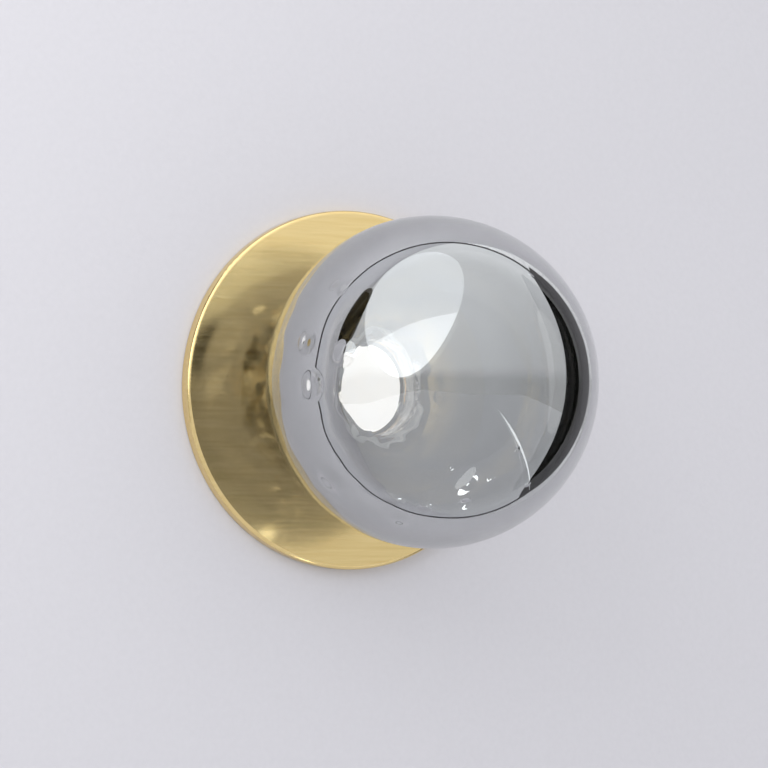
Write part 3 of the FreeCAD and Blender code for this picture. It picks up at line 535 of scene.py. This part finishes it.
FINISHES["green_yellow_sleeve"], tree, shader = grainy(
    "green_yellow_sleeve", (0.05, 0.36, 0.08), (0.07, 0.44, 0.10), SLEEVE_ROUGHNESS, 900)
lay_over(tree, shader, striped(tree, 45, 0.40, "DIAGONAL"), (0.85, 0.72, 0.05, 1))
FINISHES["green_laminate"], tree, shader = grainy(
    "green_laminate", (0.035, 0.23, 0.10), (0.06, 0.31, 0.14), (0.30, 0.42), 1200)
tracks = maths(tree, "MULTIPLY", striped(tree, 110, 0.30), ramp(tree, noise(tree, 160), 0.48, 0.52))
lay_over(tree, shader, tracks, (0.10, 0.42, 0.20, 1))
FINISHES["board_aluminium"], tree, shader = grainy(
    "board_aluminium", (0.80, 0.80, 0.78), (0.88, 0.88, 0.86), (0.40, 0.55), 900)
lay_over(tree, shader, ramp(tree, noise(tree, 220), 0.52, 0.54), (0.72, 0.72, 0.70, 1))
print("finishes so far", len(FINISHES))

# %% [markdown]
# ## Parts that give light
# The LED chips are yellow phosphor under clear resin, and the opal dome over them scatters their light until it is
# an even, warm white. Lamps behind a scattering dome would be right but slow and noisy. The dome gives the light
# itself, a little cloudy, at a strength that still shows its shape through the half mirror.

# %% Phosphor and opal
CHIP_GLOW = 3.0
DOME_GLOW = 2.3
FINISHES["led_phosphor"], tree, shader = grainy(
    "led_phosphor", (0.92, 0.80, 0.36), (0.98, 0.90, 0.50), (0.15, 0.30), 2500, Emission_Strength=CHIP_GLOW)
feed(tree, shader, "Emission Color", fed_by(shader, "Base Color"))
FINISHES["opal_plastic"], tree, shader = grainy(
    "opal_plastic", (0.92, 0.90, 0.87), (0.95, 0.94, 0.92), (0.26, 0.36), 160, Emission_Strength=DOME_GLOW)
cloud = ramp(tree, noise(tree, 90), 0.3, 0.7)
feed(tree, shader, "Emission Color", blend_colour(tree, cloud, (1.0, 0.955, 0.89, 1), (1.0, 0.975, 0.93, 1)))
print("dome glows at", DOME_GLOW)

# %% [markdown]
# ## Dress the CAD nodes
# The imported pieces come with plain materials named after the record's slots. Each could be dressed by name, but going
# by slot can't forget one. Only the hidden CAD glass keeps its packed material.

# %% Give each slot its finish
for node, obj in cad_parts.items():
    for index, packed in enumerate(obj.data.materials):
        slot = packed.name.split(".")[0]
        if slot in FINISHES:
            obj.data.materials[index] = FINISHES[slot]
        else:
            print(node, "keeps", packed.name)
print("nodes dressed from", len(FINISHES), "finishes")

# %% [markdown]
# ## The wall
# The light hangs on a smoothly painted wall. A plain plane does for it, and what has to be see-through is left to its
# material. It shows only from the room's side, so that the back of the light can be looked at too. And it is open
# behind the plate, as a wall is at its box, which lets light reach the pieces inside the plate.

# %% Wall
WALL_GAP = 0.0004
BOX_HOLE_RADIUS = 0.080


def stage_plane(name, place, width, height, upright=False):
    bpy.ops.object.select_all(action="DESELECT")
    bpy.ops.mesh.primitive_plane_add(size=1, location=place, rotation=(math.radians(90 if upright else 0), 0, 0))
    plane = bpy.context.active_object
    plane.scale = (width, height, 1)
    only(plane)
    bpy.ops.object.transform_apply(location=True, rotation=True, scale=True)
    plane.name = name
    return plane


wall = stage_plane("wall", (0, WALL_GAP, 0), 3.0, 2.4, upright=True)
paint, tree, shader = grainy("wall_paint", (0.645, 0.633, 0.665), (0.665, 0.653, 0.685), (0.80, 0.90), 350,
                             depth=0.00012)
facing = tree.nodes.new("ShaderNodeNewGeometry")
clear = tree.nodes.new("ShaderNodeBsdfTransparent")
choose = tree.nodes.new("ShaderNodeMixShader")
place = tree.nodes.new("ShaderNodeTexCoord")
reach = tree.nodes.new("ShaderNodeVectorMath")
reach.operation = "LENGTH"
tree.links.new(place.outputs["Object"], reach.inputs[0])
box_hole = maths(tree, "LESS_THAN", reach.outputs["Value"], BOX_HOLE_RADIUS)
tree.links.new(maths(tree, "MAXIMUM", facing.outputs["Backfacing"], box_hole), choose.inputs["Fac"])
tree.links.new(shader.outputs["BSDF"], choose.inputs[1])
tree.links.new(clear.outputs["BSDF"], choose.inputs[2])
tree.links.new(choose.outputs["Shader"], tree.nodes["Material Output"].inputs["Surface"])
wall.data.materials.append(paint)
print("wall normal", wall.data.polygons[0].normal)

# %% [markdown]
# ## The room's light
# The photograph has soft daylight from all round: brighter above, and a little darker to both sides. A picture of a
# room could light the scene, but a few ramps over the world's direction do it without any picture. One soft lamp at
# the upper left makes the wall fade towards the lower right. Reflections don't see the lamp, since the photograph's
# glass shows a softbox instead.

# %% World and key light
LEVEL_BELOW, LEVEL_ABOVE = 0.80, 1.08
TOP_GAIN = 0.20
SIDE_LOSS = 0.25
scene = bpy.context.scene
world = bpy.data.worlds.new("studio")
scene.world = world
world.use_nodes = True
tree = world.node_tree
background = tree.nodes["Background"]
background.inputs["Color"].default_value = (0.97, 0.98, 1.0, 1)
way = tree.nodes.new("ShaderNodeTexCoord")
axes = tree.nodes.new("ShaderNodeSeparateXYZ")
tree.links.new(way.outputs["Generated"], axes.inputs["Vector"])
horizon = ramp(tree, axes.outputs["Z"], -0.03, 0.13, LEVEL_BELOW, LEVEL_ABOVE, smooth=True)
towards_top = ramp(tree, axes.outputs["Z"], 0.10, 0.80, 0.0, TOP_GAIN)
towards_sides = ramp(tree, maths(tree, "ABSOLUTE", axes.outputs["X"], 0.0), 0.2, 1.0, 0.0, -SIDE_LOSS)
level = maths(tree, "ADD", maths(tree, "ADD", horizon, towards_top), towards_sides)
tree.links.new(level, background.inputs["Strength"])

KEY_PLACE = Vector((-0.62, -0.55, 0.45))
KEY_SIZE = 0.6
KEY_POWER = 3.0
lamp = bpy.data.lights.new("key", "AREA")
lamp.shape = "RECTANGLE"
lamp.size, lamp.size_y, lamp.energy = KEY_SIZE, KEY_SIZE, KEY_POWER
key = bpy.data.objects.new("key", lamp)
scene.collection.objects.link(key)
key.location = KEY_PLACE
key.rotation_euler = (-KEY_PLACE).to_track_quat("-Z", "Y").to_euler()
key.visible_glossy = False
key.visible_transmission = False
print("key light stands off by", KEY_PLACE.length)

# %% [markdown]
# ## What the glass reflects
# Glass and polished metal look like what stands around them, so a photographer puts up cards. Here too they are real
# pieces of the stage, but only reflections and refractions see them. `card` makes a flat shape with any number of
# sides, and `glow` makes it shine, with a brighter and a dimmer part if wanted.

# %% Cards and their light
OVAL, SMALL_OVAL, LOZENGE = 64, 32, 4  # sides of a card
SPLIT_BLUR = 0.01


def card(name, place, facing, width, height, sides, material):
    bpy.ops.object.select_all(action="DESELECT")
    bpy.ops.mesh.primitive_circle_add(vertices=sides, radius=1, fill_type="NGON")
    obj = bpy.context.active_object
    obj.name = name
    obj.rotation_euler = facing
    obj.location = place
    obj.scale = (width / 2, height / 2, 1)
    bpy.ops.object.transform_apply(location=False, rotation=False, scale=True)
    obj.data.materials.append(material)
    obj.visible_camera = False
    obj.visible_diffuse = False
    obj.visible_shadow = False
    print("card", name, [round(value, 3) for value in obj.dimensions])
    return obj


def glow(name, upper, lower, split=0.0, tilt=0.0):
    """Shines at upper above a line across the card and at lower below it. Split places the line and tilt slopes it."""
    material = bpy.data.materials.new(name)
    material.use_nodes = True
    tree = material.node_tree
    tree.nodes.remove(tree.nodes["Principled BSDF"])
    light = tree.nodes.new("ShaderNodeEmission")
    light.inputs["Color"].default_value = (0.96, 0.98, 1.0, 1)
    place = tree.nodes.new("ShaderNodeTexCoord")
    axes = tree.nodes.new("ShaderNodeSeparateXYZ")
    tree.links.new(place.outputs["Object"], axes.inputs["Vector"])
    height = maths(tree, "ADD", axes.outputs["Y"], maths(tree, "MULTIPLY", axes.outputs["X"], tilt))
    tree.links.new(ramp(tree, height, split - SPLIT_BLUR, split + SPLIT_BLUR, lower, upper), light.inputs["Strength"])
    tree.links.new(light.outputs["Emission"], tree.nodes["Material Output"].inputs["Surface"])
    return material


# %% [markdown]
# ## The oval softbox
# The photograph's window holds a large oval reflection, brighter below a slanting line than above it. The card's
# size and place were found by following rays from the camera off the coating to a plane at the upper left, and
# reading off where the oval's outline meets that plane. It could be a lamp, but a lamp can't be an oval in two tones.

# %% Softbox
SOFTBOX_WAY = Vector((-0.62, -0.55, 0.56)).normalized()
SOFTBOX_DISTANCE = 1.1
SOFTBOX_SHIFT = Vector((-0.06, 0.40, 0))


def turn_to_face(toward, up):
    """The turn that makes a card face along toward, with up as near as it can be."""
    z = Vector(toward).normalized()
    x = Vector(up).cross(z).normalized()
    y = z.cross(x)
    return Matrix((x, y, z)).transposed().to_euler()


ball_middle = Vector((0, -BALL_DEPTH * MM, 0))
softbox_turn = turn_to_face(-SOFTBOX_WAY, (0, 0, 1))
softbox_place = ball_middle + SOFTBOX_DISTANCE * SOFTBOX_WAY + softbox_turn.to_matrix() @ SOFTBOX_SHIFT
softbox_light = glow("softbox_light", 1.75, 2.3, split=-0.46, tilt=0.464)
card("softbox", softbox_place, softbox_turn, 1.26, 2.30, OVAL, softbox_light)

# %% [markdown]
# ## Dark flags
# The black crescent at the window's right edge and the wedge at its upper left are dark things to the light's sides.
# The world could be painted dark there, but things that stand near move rightly in the glass as one walks round it,
# so they are two oval pieces of black felt. The right one is cut straight near the wall with bisect, or the crescent
# would spill into the ring outside the window.

# %% Black felt at both sides
SIDE_DISTANCE = 0.5
RIGHT_CUT = -0.130
QUARTER_TURN = math.radians(90)
black = new_finish("black_felt", Base_Color=(0.004, 0.004, 0.003, 1), Specular_IOR_Level=0.0)[0]
right_flag = card("right_flag", (SIDE_DISTANCE, -0.13, -0.03), (0, -QUARTER_TURN, 0), 1.20, 0.52, OVAL, black)
only(right_flag)
bpy.ops.object.transform_apply(location=True, rotation=True, scale=True)
bpy.ops.object.mode_set(mode="EDIT")
bpy.ops.mesh.select_all(action="SELECT")
bpy.ops.mesh.bisect(plane_co=(SIDE_DISTANCE, RIGHT_CUT, 0), plane_no=(0, 1, 0), clear_outer=True)
bpy.ops.object.mode_set(mode="OBJECT")
card("left_flag", (-SIDE_DISTANCE, -0.05, 0.36), (0, QUARTER_TURN, 0), 0.56, 0.18, SMALL_OVAL, black)
print("right flag", [round(value, 3) for value in right_flag.dimensions])

# %% [markdown]
# ## Glints
# Low in the window the photograph has a small, bright comma and a long, thin curve. The first is a small lamp below
# the light, and the second the lit edge of something long at the right. A card with four sides is a lozenge, so the
# thin one ends in points, as the curve does.

# %% A low lamp and a thin strip
LAMP_TURN = math.radians(18.9)
LAMP_GLOW = 4.0
STRIP_GLOW = 2.2
card("low_lamp", (0.095, -0.375, -0.60), (0, 0, LAMP_TURN), 0.08, 0.22, SMALL_OVAL,
     glow("low_lamp_light", LAMP_GLOW, LAMP_GLOW))
card("edge_strip", (SIDE_DISTANCE, -0.95, -0.53), (0, -QUARTER_TURN, 0), 0.035, 1.7, LOZENGE,
     glow("edge_strip_light", STRIP_GLOW, STRIP_GLOW))

# %% [markdown]
# ## The floor
# The photograph doesn't show a floor, but the glass reflects one, and other views see it. It could be left to the
# world's colour, but a real plane also gets the light's shadow. It reaches far into the room, so that no edge of it
# shows in the glass.

# %% Floor
floor = stage_plane("floor", (0, -3.0, -0.9), 7.0, 6.0)
floor.data.materials.append(grainy("floor_paint", (0.67, 0.67, 0.68), (0.70, 0.70, 0.71), (0.6, 0.8), 60)[0])
print("floor", [round(value, 2) for value in floor.dimensions])

# %% [markdown]
# ## Camera
# The photograph was taken from the light's left and a little below, from a good distance. Its place and the way it
# looks were fitted to the outlines of plate and ball. The place is given as a distance and two angles from the
# light, and the look as two angles, because these are what one would turn to correct them.

# %% Camera
CAMERA_DISTANCE = 1.5182
CAMERA_LENS, CAMERA_SENSOR = 150, 36  # millimetres
PLACE_TURN, PLACE_RISE = math.radians(26.36), math.radians(-2.66)
LOOK_TURN, LOOK_RISE = math.radians(27.03), math.radians(2.77)


def direction(turn, rise):
    """Straight into the wall, turned towards +X and raised."""
    return Vector((math.sin(turn) * math.cos(rise), math.cos(turn) * math.cos(rise), math.sin(rise)))


camera_data = bpy.data.cameras.new("camera")
camera_data.sensor_width = CAMERA_SENSOR
camera_data.lens = CAMERA_LENS
camera = bpy.data.objects.new("camera", camera_data)
scene.collection.objects.link(camera)
camera.location = -CAMERA_DISTANCE * direction(PLACE_TURN, -PLACE_RISE)
camera.rotation_euler = direction(LOOK_TURN, LOOK_RISE).to_track_quat("-Z", "Y").to_euler()
scene.camera = camera
scene.view_settings.view_transform = "Standard"
print("camera at", camera.location)
